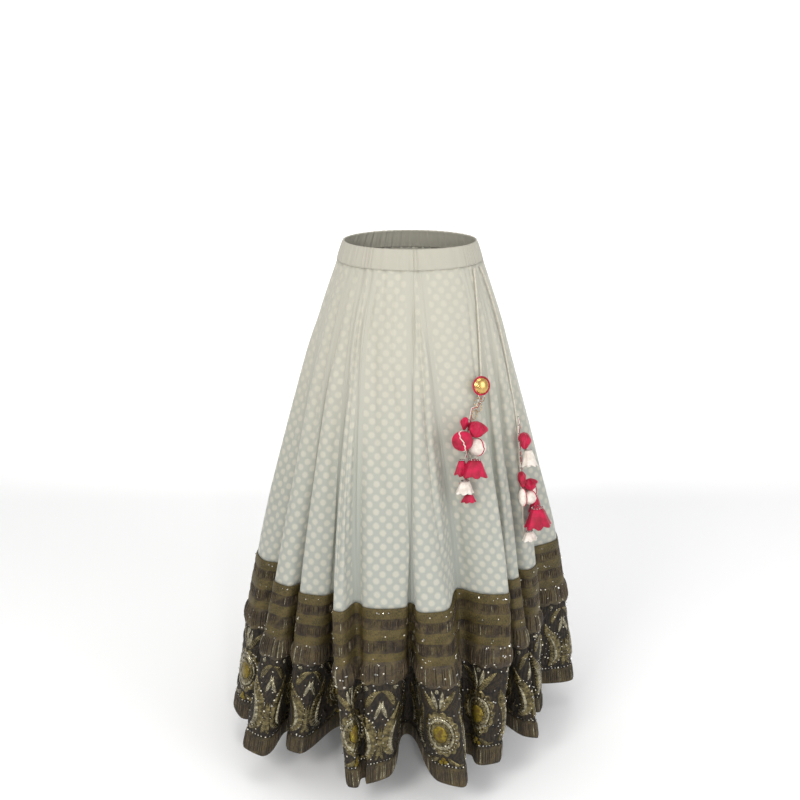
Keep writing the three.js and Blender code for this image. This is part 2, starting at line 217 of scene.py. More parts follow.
# ---- Relief too fine for the CAD model ----
# A crease's place at its top and bottom, as a fold and a share of it, the heights between which
# it runs, how far it stands out and how wide it is.
CREASES = [
    (3.25, 3.62, -120, -560, -5, 12),
    (3.02, 3.3, -150, -630, 3.5, 16),
    (3.8, 3.85, -190, -600, 3, 18),
    (2.6, 2.45, -170, -640, -4, 12),
    (2.2, 2.7, -130, -420, 3, 16),
    (4.25, 4.2, -200, -630, 4, 20),
    (4.6, 4.75, -260, -640, -5, 14),
    (4.9, 5.1, -150, -470, 3, 14),
    (5.35, 5.3, -240, -630, 4.5, 18),
    (5.7, 5.6, -300, -620, -4, 12),
    (6.3, 6.4, -220, -600, 3.5, 14),
    (6.8, 6.75, -160, -520, -3, 12),
    (7.5, 7.4, -180, -610, 4, 20),
    (1.3, 1.5, -200, -620, 4, 18),
    (1.75, 1.7, -140, -500, -3.5, 12),
    (0.4, 0.5, -230, -630, 4, 18),
    (8.4, 8.6, -200, -620, -4, 16),
    (9.2, 9.4, -160, -480, 4, 18),
    (9.8, 9.6, -300, -630, -4, 14),
    (10.5, 10.4, -200, -600, 4, 20),
    (11.2, 11.4, -180, -560, -4, 14),
    (11.7, 11.5, -260, -630, 3, 16),
    (12.4, 12.6, -150, -470, 4, 18),
    (13.1, 13.0, -240, -620, -4, 14),
    (13.6, 13.7, -180, -600, 4, 18),
    (14.3, 14.2, -200, -540, -4, 14),
    (14.9, 14.7, -160, -620, 3.5, 18),
    (15.5, 15.6, -230, -610, -4, 16),
    (16.2, 16.1, -180, -500, 4, 16),
    (16.8, 16.6, -260, -630, -3.5, 14),
    (17.4, 17.5, -170, -600, 4, 20),
    (4.63, 4.8, -110, -650, -4.4, 4.5),
    (4.74, 4.93, -130, -650, 4.2, 9),
    (4.92, 4.77, -390, -650, -3, 4.5),
    (5.25, 5.2, -420, -650, -3.2, 4.5),
    (5.42, 5.4, -380, -640, 3.8, 8),
    (6.95, 6.3, -200, -650, -3.2, 4.5),
    (3.56, 3.68, -60, -340, -3.5, 4),
    (3.45, 3.5, -70, -300, 2.9, 7),
    (2.4, 1.95, -140, -600, -3.8, 4.5),
    (2.7, 2.82, -110, -640, -4.2, 4.5),
    (2.86, 2.95, -120, -620, 3.5, 8),
    (4.2, 4.25, -80, -230, -3.2, 4),
    (3.2, 3.16, -60, -260, -2.9, 4),
    (5.9, 5.75, -90, -330, -3.5, 4.5),
    (1.2, 1.05, -130, -610, -3.8, 4.5),
    (0.7, 0.75, -110, -420, -3.5, 4.5),
    (7.7, 7.8, -110, -560, -3.8, 4.5),
    (8.8, 8.7, -150, -640, -4.2, 4.5),
    (9.5, 9.7, -90, -420, -3.5, 4.5),
    (10.8, 10.75, -220, -640, -4.2, 4.5),
    (11.9, 12.0, -100, -380, -3.5, 4.5),
    (12.8, 12.7, -240, -640, -4.2, 4.5),
    (13.9, 14.0, -120, -520, -3.8, 4.5),
    (15.2, 15.1, -160, -640, -4.2, 4.5),
    (16.5, 16.6, -90, -360, -3.5, 4.5),
    (17.8, 17.7, -200, -630, -4, 4.5),
]
GATHER_COUNT = 118
rng = np.random.default_rng(11)
GATHERS = np.stack([
    (np.arange(GATHER_COUNT) + rng.uniform(-0.4, 0.4, GATHER_COUNT)) * CONTROLS / GATHER_COUNT,
    rng.uniform(-2.3, 0.9, GATHER_COUNT),  # depth
    rng.uniform(2.5, 5.5, GATHER_COUNT),  # width
    rng.uniform(-190, -75, GATHER_COUNT),  # the height where it has faded
], -1)
SWELLS = np.stack([
    rng.integers(24, 60, 6),  # waves around the skirt
    rng.uniform(0, 2 * math.pi, 6),
    rng.uniform(-0.008, 0.008, 6),  # how fast the wave drifts with height
    rng.uniform(0.25, 0.6, 6),  # how far it stands out
], -1)


def wrapped(difference):
    return (difference + CONTROLS / 2) % CONTROLS - CONTROLS / 2


CREASE_BEND = 0.35  # how far a crease bows sideways, in steps of u
CREASE_FADES = ((40, -60), (-40, 110))  # about its top and about its bottom
SEAM_HOLD = 0.65  # how much of a gather the band's seam presses flat
SEAM_REACH = 9
BORDER_FADE = 50
SWELL_START = -160  # the height where the swells have their full depth


def relief(u, z, speed):
    """How far creases, gathers and swells move the ivory cloth along its normal, in mm."""
    total = np.zeros(u.shape)
    (top_out, top_in), (low_out, low_in) = CREASE_FADES
    for top, low, start, end, depth, width in CREASES:
        share = np.clip((z - start) / (end - start), 0, 1)
        bend = CREASE_BEND * np.sin(share * math.pi) * np.sign(depth)
        away = wrapped(u - CONTROLS_PER_FOLD * (top + (low - top) * share) - bend) * speed
        fade = smooth(start + top_out, start + top_in, z) * smooth(end + low_out, end + low_in, z)
        total += depth * fade * np.exp(-((away / width) ** 2))
    held = 1 - SEAM_HOLD * smooth(BAND_BOTTOM - SEAM_REACH, BAND_BOTTOM, z)
    for centre, depth, width, end in GATHERS:
        away = wrapped(u - centre) * speed
        total += depth * held * smooth(end, BAND_BOTTOM, z) * np.exp(-((away / width) ** 2))
    for waves, phase, drift, depth in SWELLS:
        angle = 2 * math.pi * waves * u / CONTROLS + phase + drift * z
        total += depth * np.sin(angle) * smooth(BAND_BOTTOM, SWELL_START, z)
    return total * smooth(BORDER_TOP, BORDER_TOP + BORDER_FADE, z)


def on_cloth(u, z, rise=0, creased=False):
    """Points of the cloth in mm, moved off its outer face by rise, and their normals."""
    u, z = np.broadcast_arrays(np.asarray(u, float), np.asarray(z, float))
    normal, speed = face_normal(u, z)
    if creased:
        rise = rise + relief(u, z, speed)
    return face(u, z) + normal * np.broadcast_to(rise, u.shape)[..., None], normal


def cloth_grid(first_fold, folds, columns, heights, rise=0, creased=False):
    """A grid over some folds: its points and normals."""
    u = np.linspace(first_fold, first_fold + folds, columns)[None] * CONTROLS_PER_FOLD
    return on_cloth(u, heights[:, None], rise, creased)


# ---- Meshes ----
def make_piece(name, vertices, faces, materials, uvs=None, indices=None, sharp=None):
    """A piece from vertices in mm; uvs are one pair for each vertex."""
    mesh = bpy.data.meshes.new(name)
    corners = faces if isinstance(faces, list) else faces.tolist()
    mesh.from_pydata((np.asarray(vertices) * MM).tolist(), [], corners)
    if uvs is not None:
        loops = np.zeros(len(mesh.loops), int)
        mesh.loops.foreach_get("vertex_index", loops)
        layer = mesh.uv_layers.new(name="cloth")
        layer.data.foreach_set("uv", np.asarray(uvs)[loops].ravel())
    for material in materials:
        mesh.materials.append(material)
    if indices is not None:
        mesh.polygons.foreach_set("material_index", np.asarray(indices, int))
    mesh.polygons.foreach_set("use_smooth", [True] * len(mesh.polygons))
    if sharp:
        mesh.set_sharp_from_angle(angle=math.radians(sharp))
    mesh.update()
    piece = bpy.data.objects.new(name, mesh)
    bpy.context.scene.collection.objects.link(piece)
    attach(piece, "root")
    return piece


def grid_faces(rows, columns, start=0, flip=False, ring=False):
    row, column = np.meshgrid(np.arange(rows - 1), np.arange(columns - (0 if ring else 1)), indexing="ij")
    after = (column + 1) % columns
    a, b = start + row * columns + column, start + (row + 1) * columns + column
    c, d = start + (row + 1) * columns + after, start + row * columns + after
    quads = np.stack([a, b, c, d], -1).reshape(-1, 4)
    return quads[:, ::-1] if flip else quads


def rim_faces(rows, columns, ring=False):
    """Quads joining the edges of an outer grid to those of an inner grid that follows it."""
    inner = rows * columns
    column = np.arange(columns if ring else columns - 1)
    after = (column + 1) % columns
    last = (rows - 1) * columns
    faces = [
        np.stack([after, after + inner, column + inner, column], -1),
        np.stack([last + column, last + column + inner, last + after + inner, last + after], -1),
    ]
    if not ring:
        row = np.arange(rows - 1) * columns
        below = row + columns
        end = columns - 1
        faces.append(np.stack([row, row + inner, below + inner, below], -1))
        faces.append(np.stack([row + end, below + end, below + end + inner, row + end + inner], -1))
    return np.concatenate(faces)


def shell(name, outer, normal, thickness, materials, uvs, ring=False):
    """A closed thin shell from an outer grid of points."""
    rows, columns = outer.shape[:2]
    inner = outer - normal * thickness
    vertices = np.concatenate([outer.reshape(-1, 3), inner.reshape(-1, 3)])
    faces = np.concatenate([
        grid_faces(rows, columns, ring=ring),
        grid_faces(rows, columns, rows * columns, True, ring),
        rim_faces(rows, columns, ring),
    ])
    return make_piece(name, vertices, faces, materials, np.concatenate([uvs, uvs]))


def arc(grid):
    """Lengths along each row from its first point, in mm."""
    steps = np.linalg.norm(np.diff(grid, axis=1), axis=-1)
    return np.concatenate([np.zeros((len(grid), 1)), np.cumsum(steps, axis=1)], axis=1)


def drop(grid):
    """Lengths down the middle column from its first point, in mm."""
    middle = grid[:, grid.shape[1] // 2]
    return np.concatenate([[0], np.cumsum(np.linalg.norm(np.diff(middle, axis=0), axis=-1))])


# ---- Materials ----
class Nodes:
    """A material's node tree, with short calls for the nodes used here."""

    def __init__(self, name, roughness, **sockets):
        self.material = bpy.data.materials.new(name)
        self.material.use_nodes = True
        self.tree = self.material.node_tree
        self.shader = self.tree.nodes["Principled BSDF"]
        self.set("Roughness", roughness)
        for socket, value in sockets.items():
            self.set(socket.replace("_", " "), value)

    def set(self, socket, value):
        """Sets one of the shader's sockets to a value or to another node's output."""
        self.put(self.shader.inputs[socket], value)

    def put(self, socket, value):
        if isinstance(value, bpy.types.NodeSocket):
            self.tree.links.new(value, socket)
        else:
            socket.default_value = value

    def add(self, kind, inputs=(), output=0, **settings):
        node = self.tree.nodes.new(kind)
        for name, value in settings.items():
            setattr(node, name, value)
        for key, value in dict(inputs).items():
            self.put(node.inputs[key], value)
        return node.outputs[output]

    def math(self, operation, *values):
        return self.add("ShaderNodeMath", dict(enumerate(values)), operation=operation)

    def uv(self):
        return self.add("ShaderNodeUVMap", uv_map="cloth")

    def object_place(self):
        return self.add("ShaderNodeTexCoord", output=3)

    def vector(self, operation, one, two, output=0):
        return self.add("ShaderNodeVectorMath", {0: one, 1: two}, output, operation=operation)

    def scaled(self, vector, x, y, z=1):
        return self.vector("MULTIPLY", vector, (x, y, z))

    def part(self, vector, axis):
        """A vector's x (0) or y (1)."""
        return self.add("ShaderNodeSeparateXYZ", {0: vector}, axis)

    def noise(self, vector, scale, detail=3, roughness=0.5):
        inputs = {"Vector": vector, "Scale": scale, "Detail": detail, "Roughness": roughness}
        return self.add("ShaderNodeTexNoise", inputs)

    def ramp(self, factor, *stops, interpolation="EASE"):
        node = self.tree.nodes.new("ShaderNodeValToRGB")
        node.color_ramp.interpolation = interpolation
        elements = node.color_ramp.elements
        while len(elements) < len(stops):
            elements.new(1)
        for element, (place, color) in zip(elements, stops):
            element.position = place
            element.color = (*color, 1) if hasattr(color, "__len__") else (color, color, color, 1)
        self.put(node.inputs[0], factor)
        return node.outputs[0]

    def mix(self, factor, one, two, blend="MIX"):
        node = self.tree.nodes.new("ShaderNodeMix")
        node.data_type, node.blend_type = "RGBA", blend
        for place, value in ((0, factor), (6, one), (7, two)):
            if hasattr(value, "__len__") and len(value) == 3:
                value = (*value, 1)
            self.put(node.inputs[place], value)
        return node.outputs[2]

    def bump(self, height, distance, strength=1):
        node = self.tree.nodes.new("ShaderNodeBump")
        node.inputs["Strength"].default_value = strength
        node.inputs["Distance"].default_value = distance
        self.put(node.inputs["Height"], height)
        self.put(self.shader.inputs["Normal"], node.outputs[0])


def linear(red, green, blue):
    """A colour given in display values from 0 to 255."""
    return tuple((value / 255) ** 2.2 for value in (red, green, blue))


def weave(nodes, uv, threads):
    """A plain weave's height: crossing threads, so many in a metre."""
    waves = [
        nodes.math("SINE", nodes.math("MULTIPLY", nodes.part(uv, axis), threads * 2 * math.pi))
        for axis in (0, 1)
    ]
    return nodes.math("MULTIPLY_ADD", nodes.math("MULTIPLY", *waves), 0.5, 0.5)


DOT_SPACING = (0.025, 0.026)  # metres, across and down
DOT_RADIUS = 0.006
DOT_EDGE = 0.0034  # how soft a dot's edge is
SEAM_STRIP = 0.008  # the dotless strip beside a seam
IVORY_TONES = (linear(184, 181, 168), linear(191, 187, 171))
BAND_TONES = (linear(171, 168, 156), linear(178, 174, 160))
FIBRE_TONE = linear(168, 165, 150)
GROUND_TONES = (linear(176, 174, 161), linear(156, 159, 151))  # between the dots, high and low


def dot_distance(nodes, uv, offset):
    """How far a place is from the nearest dot's centre, in one of the two lattices of dots."""
    cell = nodes.vector("ADD", uv, (*offset, 0))
    for operation in ("MODULO", "ADD", "MODULO"):
        cell = nodes.vector(operation, cell, (*DOT_SPACING, 1))
    flat = nodes.scaled(cell, 1, 1, 0)
    return nodes.vector("DISTANCE", flat, (DOT_SPACING[0] / 2, DOT_SPACING[1] / 2, 0), output=1)


def attribute_value(nodes, name):
    return nodes.add("ShaderNodeAttribute", attribute_name=name, output=2)


def limited(nodes, value):
    """A value kept between 0 and 1."""
    return nodes.math("MINIMUM", nodes.math("MAXIMUM", value, 0), 1)


def dots(nodes, uv, low):
    """1 in a woven dot and 0 outside: two lattices, fainter low down, with none beside a seam."""
    radius = nodes.math("MULTIPLY_ADD", nodes.noise(uv, 260, 2), 0.0026, DOT_RADIUS - 0.0013)
    masks = []
    for offset in ((0, 0), (DOT_SPACING[0] / 2, DOT_SPACING[1] / 2)):
        inside = nodes.math("SUBTRACT", radius, dot_distance(nodes, uv, offset))
        masks.append(nodes.math("MULTIPLY_ADD", inside, 1 / DOT_EDGE, 0.5))
    mask = limited(nodes, nodes.math("MAXIMUM", *masks))
    seam = nodes.math("SUBTRACT", attribute_value(nodes, "seam"), SEAM_STRIP)
    mask = nodes.math("MULTIPLY", mask, limited(nodes, nodes.math("MULTIPLY_ADD", seam, 500, 0)))
    return nodes.math("MULTIPLY", mask, nodes.math("MULTIPLY_ADD", low, -0.25, 1))


def ivory_material(name, dotted):
    nodes = Nodes(name, 0.68, Sheen_Weight=0.25, Sheen_Roughness=0.4, Specular_IOR_Level=0.35)
    uv = nodes.uv()
    cloudy = nodes.noise(nodes.object_place(), 6)
    color = nodes.mix(cloudy, *(IVORY_TONES if dotted else BAND_TONES))
    fibre = nodes.noise(nodes.scaled(uv, 1500, 220), 1, 2)
    color = nodes.mix(nodes.math("MULTIPLY", fibre, 0.22), color, FIBRE_TONE)
    height = nodes.math("MULTIPLY", weave(nodes, uv, 900), 0.25)
    if dotted:
        low = attribute_value(nodes, "low")
        mask = dots(nodes, uv, low)
        ground = nodes.mix(low, *GROUND_TONES)
        color = nodes.mix(nodes.math("MULTIPLY_ADD", mask, -1, 1), color, ground)
        height = nodes.math("ADD", height, nodes.math("MULTIPLY", mask, 0.9))
        nodes.set("Roughness", nodes.math("MULTIPLY_ADD", mask, -0.14, 0.74))
    nodes.set("Base Color", color)
    nodes.bump(height, 0.0006, 0.5)
    return nodes.material


def stripe_material(name, stops, hatch, roughness, metallic, height, **sockets):
    """Banded metallic lace: stops are shares of the height and the colour from there down."""
    nodes = Nodes(name, roughness, Metallic=metallic, **sockets)
    uv = nodes.uv()
    share = nodes.math("SUBTRACT", nodes.math("DIVIDE", nodes.part(uv, 1), height * MM), 0.015)
    wavy = nodes.math("MULTIPLY_ADD", nodes.noise(uv, 30, 2), 0.03, share)
    bands = nodes.ramp(wavy, *stops, interpolation="CONSTANT")
    threads = nodes.noise(nodes.scaled(uv, *hatch), 1, 2, 0.6)
    dark = nodes.mix(nodes.ramp(threads, (0.3, 0.0), (0.7, 1.0)), bands, (0.02, 0.014, 0.008))
    blotches = nodes.noise(uv, 45, 4, 0.6)
    color = nodes.mix(nodes.ramp(blotches, (0.35, 0.0), (0.75, 0.55)), dark, linear(112, 97, 58))
    nodes.set("Base Color", color)
    height_map = nodes.math("ADD", threads, nodes.math("MULTIPLY", weave(nodes, uv, 500), 0.5))
    nodes.bump(height_map, 0.0008, 0.7)
    return nodes.material


def thread_material(name, one, two, roughness, metallic, threads=2200, **sockets):
    """Couched metal thread or silk: two colours mottled, with a fine ribbing along the piece."""
    nodes = Nodes(name, roughness, Metallic=metallic, **sockets)
    uv = nodes.uv()
    ribs = nodes.math("SINE", nodes.math("MULTIPLY", nodes.part(uv, 0), threads))
    mottle = nodes.noise(nodes.object_place(), 120, 4, 0.65)
    color = nodes.mix(nodes.ramp(mottle, (0.32, 0.0), (0.68, 1.0)), one, two)
    shade = nodes.math("MULTIPLY_ADD", ribs, 0.2, 0.25)
    nodes.set("Base Color", nodes.mix(shade, color, tuple(value * 0.25 for value in one)))
    nodes.bump(nodes.math("ADD", ribs, nodes.math("MULTIPLY", mottle, 2)), 0.0005, 0.6)
    return nodes.material


def silk_material(name, one, two, sheen, scale):
    """Crumpled silk or wool on the stuffed pieces."""
    nodes = Nodes(name, 0.55, Sheen_Weight=sheen, Sheen_Roughness=0.35, Specular_IOR_Level=0.4)
    place = nodes.object_place()
    folds = nodes.noise(place, scale, 4, 0.6)
    nodes.set("Base Color", nodes.mix(nodes.ramp(folds, (0.3, 0.0), (0.7, 1.0)), one, two))
    fine = nodes.noise(place, 900, 2)
    nodes.bump(nodes.math("MULTIPLY_ADD", fine, 0.3, folds), 0.0015, 0.6)
    return nodes.material


def sequin_material(name, color, roughness):
    nodes = Nodes(name, roughness, Metallic=1.0)
    place = nodes.object_place()
    tint = nodes.noise(place, 300, 2)
    nodes.set("Base Color", nodes.mix(tint, color, tuple(value * 0.55 for value in color)))
    nodes.bump(nodes.noise(place, 700, 1), 0.0004, 0.5)
    return nodes.material


OLIVE = linear(93, 81, 38)
BROWN = linear(44, 33, 23)
GREY_BROWN = linear(78, 68, 55)
IVORY_DOTTED = ivory_material("ivory_dotted_cloth", True)
IVORY_PLAIN = ivory_material("ivory_plain_cloth", False)
GROUND = thread_material("border_ground_cloth", linear(13, 10, 8), linear(56, 46, 30), 0.8, 0.1, 900)
LACE = stripe_material(
    "antique_gold_lace",
    [(0, OLIVE), (0.13, BROWN), (0.28, OLIVE), (0.42, BROWN), (0.59, OLIVE), (0.71, GREY_BROWN)],
    (900, 260), 0.55, 0.35, LACE_HEIGHT,
)
TRIM = stripe_material(
    "hem_lace", [(0, linear(40, 34, 26)), (0.1, linear(80, 72, 59)), (0.9, linear(48, 42, 33))],
    (1400, 120), 0.6, 0.3, TRIM_HEIGHT,
)
BUGLE = thread_material("bugle_thread", linear(112, 95, 70), linear(58, 48, 35), 0.28, 0.6, 3000)
ZARI = thread_material("olive_gold_zari", linear(134, 122, 84), linear(42, 35, 20), 0.24, 0.7)
PALE_ZARI = thread_material("pale_zari", linear(186, 178, 150), linear(84, 78, 58), 0.22, 0.75)
YELLOW_ZARI = thread_material("yellow_zari", linear(150, 132, 30), linear(104, 80, 34), 0.28, 0.5)
DARK_ZARI = thread_material("dark_zari", linear(58, 48, 32), linear(34, 28, 20), 0.5, 0.4)
SEQUIN = sequin_material("champagne_sequin", (0.86, 0.8, 0.66), 0.16)
GILT = sequin_material("gilt_metal", (0.8, 0.52, 0.18), 0.2)
SILVER = sequin_material("silver_bead", (0.55, 0.53, 0.5), 0.22)
PINK = silk_material("pink_silk", linear(192, 8, 66), linear(138, 3, 40), 0.1, 55)
IVORY_WOOL = silk_material("ivory_wool", linear(236, 228, 218), linear(205, 194, 182), 0.4, 90)
CORD_COTTON = silk_material("cord_cotton", linear(200, 195, 180), linear(176, 171, 156), 0.2, 200)

# ---- Camera, at the photograph's viewing angle ----
CAMERA_DOWN = 19.86  # degrees below level
camera = bpy.data.objects.new("camera", bpy.data.cameras.new("camera"))
camera.data.lens, camera.data.sensor_width = 49, 36
camera.location = (-0.0195, -2.104, 0.426)
camera.rotation_euler = (math.radians(90 - CAMERA_DOWN), 0, 0)
bpy.context.scene.collection.objects.link(camera)
bpy.context.scene.camera = camera

# ---- Dori: cords from under the waistband, lying on the cloth, to their latkans ----
DORI_DIAMETER = 4
FRONT_ROUTE = np.array([
    (121, -67, -43), (123, -71, -57), (125, -77, -74), (126.5, -84, -92), (128, -92, -112),
    (129.5, -99, -133), (131, -106, -155), (132.5, -113.5, -179), (134, -122, -205),
    (135, -131, -231), (134.5, -143, -255), (130, -157, -274), (123, -169, -292),
    (118, -178, -311), (115.5, -186, -334), (114, -194, -360), (113, -201, -386),
    (112, -207.5, -412), (111, -214.5, -444),
])
SIDE_ROUTE = np.array([
    (134, -50, -43), (141, -49, -58), (149.5, -49, -80), (158, -50.5, -105), (167, -53, -134),
    (175.5, -56.5, -164), (183, -61, -196), (190, -66, -228), (196, -72, -260), (202, -79, -292),
    (207, -87, -322), (211, -97, -350), (214, -106.5, -376), (216, -116, -402),
    (217.5, -124.5, -430), (219, -132, -458), (221, -138.5, -486), (223, -144, -514),
    (225, -148.5, -540), (226.5, -152.5, -558),
])


def unit(vectors):
    return vectors / np.linalg.norm(vectors, axis=-1, keepdims=True)


def smooth_route(route, steps=8):
    """A Catmull-Rom curve through a route's points."""
    padded = np.vstack([2 * route[0] - route[1], route, 2 * route[-1] - route[-2]])
    t = np.arange(steps)[:, None] / steps
    spans = []
    for p, q, r, s in zip(padded, padded[1:], padded[2:], padded[3:]):
        cubic = 2 * q + (r - p) * t + (2 * p - 5 * q + 4 * r - s) * t**2
        spans.append((cubic + (3 * q - p - 3 * r + s) * t**3) / 2)
    return np.vstack([*spans, route[-1]])


def tube(path, radius, sides=6, lobes=0, twist=0.0):
    """A closed tube's vertices, faces and uvs; lobes give it twisted strands."""
    path = np.asarray(path, float)
    tangent = unit(np.gradient(path, axis=0))
    side = unit(np.cross(tangent, (0.3, 1, 0.2)))
    other = np.cross(tangent, side)
    run = np.concatenate([[0], np.cumsum(np.linalg.norm(np.diff(path, axis=0), axis=1))])
    one = np.arange(sides)
    after = np.roll(one, -1)
    angle = one * 2 * math.pi / sides
    lobe = np.abs(np.cos(lobes * (angle - run[:, None] * twist) / 2))
    around_path = np.cos(angle)[:, None] * side[:, None] + np.sin(angle)[:, None] * other[:, None]
    points = path[:, None] + around_path * (1 - STRAND_DEPTH + STRAND_DEPTH * lobe)[..., None] * radius
    ends = len(path) * sides
    last = ends - sides
    faces = np.vstack([
        grid_faces(len(path), sides, flip=True, ring=True),
        np.stack([np.full(sides, ends), after, one, one], -1),
        np.stack([np.full(sides, ends + 1), last + one, last + after, last + after], -1),
    ])
    uv = np.stack(np.broadcast_arrays(run[:, None] * MM, angle * 0.002), -1).reshape(-1, 2)
    return np.vstack([points.reshape(-1, 3), path[0], path[-1]]), faces, np.vstack([uv, uv[0], uv[-1]])


def clean_faces(faces):
    """Faces as lists, with a repeated last corner left out."""
    return [list(f[:3]) if f[2] == f[3] else list(f) for f in faces.tolist()]


SAME_POINT = 1e-6  # metres: a form's top and bottom rows meet in one point


class Heap:
    """Many small meshes gathered into one piece."""

    def __init__(self):
        self.vertices, self.faces, self.uvs, self.indices, self.count = [], [], [], [], 0

    def add(self, vertices, faces, uvs, index=0):
        self.vertices.append(vertices)
        self.uvs.append(uvs)
        self.faces += clean_faces(np.asarray(faces) + self.count)
        self.indices += [index] * len(faces)
        self.count += len(vertices)

    def piece(self, name, materials, slot, sharp=None):
        vertices = np.vstack(self.vertices)
        uvs = np.vstack(self.uvs)
        piece = make_piece(name, vertices, self.faces, materials, uvs, self.indices, sharp)
        mesh = bmesh.new()
        mesh.from_mesh(piece.data)
        bmesh.ops.remove_doubles(mesh, verts=mesh.verts, dist=SAME_POINT)
        mesh.to_mesh(piece.data)
        mesh.free()
        return piece


CORD_FOLDS = (4.8, 9)  # the folds that the cords lie on
CORD_GAP = 0.3
CLOTH_SAMPLES = 700  # across the folds, to find the cloth under a cord
PUSH_SPREAD = 4  # how many points of a path move out on each side of one that has to
CORD_STRANDS, CORD_TWIST = 3, 0.55
STRAND_DEPTH = 0.16  # how deep a cord's strands are cut, as a share of its radius


def clear_of_cloth(path):
    """A cord's path moved out to lie on the creased cloth, where a crease would cut into it."""
    u = np.linspace(*CORD_FOLDS, CLOTH_SAMPLES)[None] * CONTROLS_PER_FOLD
    cloth, normal = on_cloth(u, path[:, 2:], 0, True)
    nearest = np.linalg.norm(cloth - path[:, None], axis=-1).argmin(axis=1)
    rows = np.arange(len(path))
    normal = normal[rows, nearest]
    gap = ((path - cloth[rows, nearest]) * normal).sum(-1)
    push = np.maximum(DORI_DIAMETER / 2 + CORD_GAP - gap, 0)
    near = np.stack([np.roll(push, shift) for shift in range(-PUSH_SPREAD, PUSH_SPREAD + 1)])
    return path + normal * near.max(axis=0)[:, None]


def make_dori(name, route):
    path = clear_of_cloth(smooth_route(route))
    heap = Heap()
    heap.add(*tube(path, DORI_DIAMETER / 2, 12, CORD_STRANDS, CORD_TWIST))
    piece = heap.piece(f"{name}_cord", [CORD_COTTON], "cord")
    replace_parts(piece, name)
    return piece, path


front_dori, front_path = make_dori("dori_front", FRONT_ROUTE)
side_dori, side_path = make_dori("dori_side", SIDE_ROUTE)

# ---- Latkans: name, shape, radius, length, height of its top, distance to the side, look.
# Each also has a small bell of its own, which is not in the CAD model.
FRONT_LATKAN = [
    ("petal_left", "petal", 6, 22, -308, -14, "pink"),
    ("petal_right", "petal", 14, 28, -311, 9, "pink"),
    ("ball", "ball", 19, 36, -330, -22, "pink"),
    ("pompom", "ball", 16, 31, -342, 15, "ivory"),
    ("bell", "bell", 28, 33, -375, 4, "pink"),
    ("white_bell", "bell", 18, 24, -413, -8, "ivory"),
    ("tip", "bell", 15, 16, -440, 3, "pink"),
    ("bell_small", "bell", 14, 28, -377, -17, "pink"),
]
SIDE_LATKAN = [
    ("bud", "petal", 9, 30, -364, -3, "pink"),
    ("flower", "bell", 17, 33, -396, 5, "ivory"),
    ("petal_left", "petal", 6, 28, -435, -13, "pink"),
    ("petal_right", "petal", 11, 22, -451, 12, "pink"),
    ("pompom", "ball", 12, 26, -475, 12, "ivory"),
    ("pompom_left", "ball", 7, 34, -467, -10, "ivory"),
    ("pompom_right", "ball", 8, 30, -462, 33, "ivory"),
    ("bell", "bell", 27, 38, -505, 12, "pink"),
    ("white_bell", "bell", 15, 18, -550, -2, "ivory"),
    ("bell_small", "bell", 14, 30, -489, 30, "pink"),
]
FULLNESS = {"ball": (1.12, 1.05), "petal": (1.5, 1.15), "bell": (1.12, 1.1)}  # across and down
FRONT_SIZE, SIDE_SIZE = 1.05, 1.3  # the side latkan's stuffed pieces are fuller across
FRONT_SHIFT, SIDE_SHIFT = -12, -8  # the pieces hang to one side of their cord
FLATNESS = 0.7
CLEARANCE = 1
BELL_LOBES = 7
BELL_OUTSIDE = 0.72  # the share of a bell's rows that is outside; the rest goes up inside
PINK_TRIM, SILVER_TRIM, IVORY_TRIM = 0, 1, 2
# A ball's piping: the column it starts at, how far it leans and its look.
PIPING = {"pink": (17, 5, IVORY_TRIM), "ivory": (25, 1, PINK_TRIM)}
PIPING_RADIUS = 1.1
BELL_BEADS = 12
BELL_BEAD_PLACE = (0.36, -0.05)  # shares of the bell's radius and length
STRAND_WAVE, STRAND_OFF = 2.2, 5
BEAD_RADIUS = 1.5
# A strand's distance to the side, the heights of its ends and its look.
FRONT_STRANDS = [
    (-3, -270, -405, IVORY_TRIM), (1, -270, -376, PINK_TRIM), (8, -330, -372, IVORY_TRIM),
    (-10, -400, -425, PINK_TRIM),
]
SIDE_STRANDS = [(-2, -330, -400, IVORY_TRIM), (3, -340, -470, PINK_TRIM), (0, -400, -500, IVORY_TRIM)]


def around(count):
    return np.linspace(0, 2 * math.pi, count, endpoint=False)


def oval(across, down, count, height=0.0):
    """A level oval of points about the origin."""
    angle = around(count)
    return np.stack([across * np.cos(angle), down * np.sin(angle), height + 0 * angle], -1)


def place_on(path, z):
    """The place on a path at height z, and its axes: to the side, into the cloth and up."""
    i = int(np.argmin(np.abs(path[:, 2] - z)))
    up = unit(path[max(i - 1, 0)] - path[min(i + 1, len(path) - 1)])
    point = np.array([np.interp(-z, -path[:, 2], path[:, k]) for k in range(3)])
    inward = np.array([-point[0], -point[1], 0])
    inward = unit(inward - inward.dot(up) * up)
    return point, np.stack([np.cross(inward, up), inward, up])


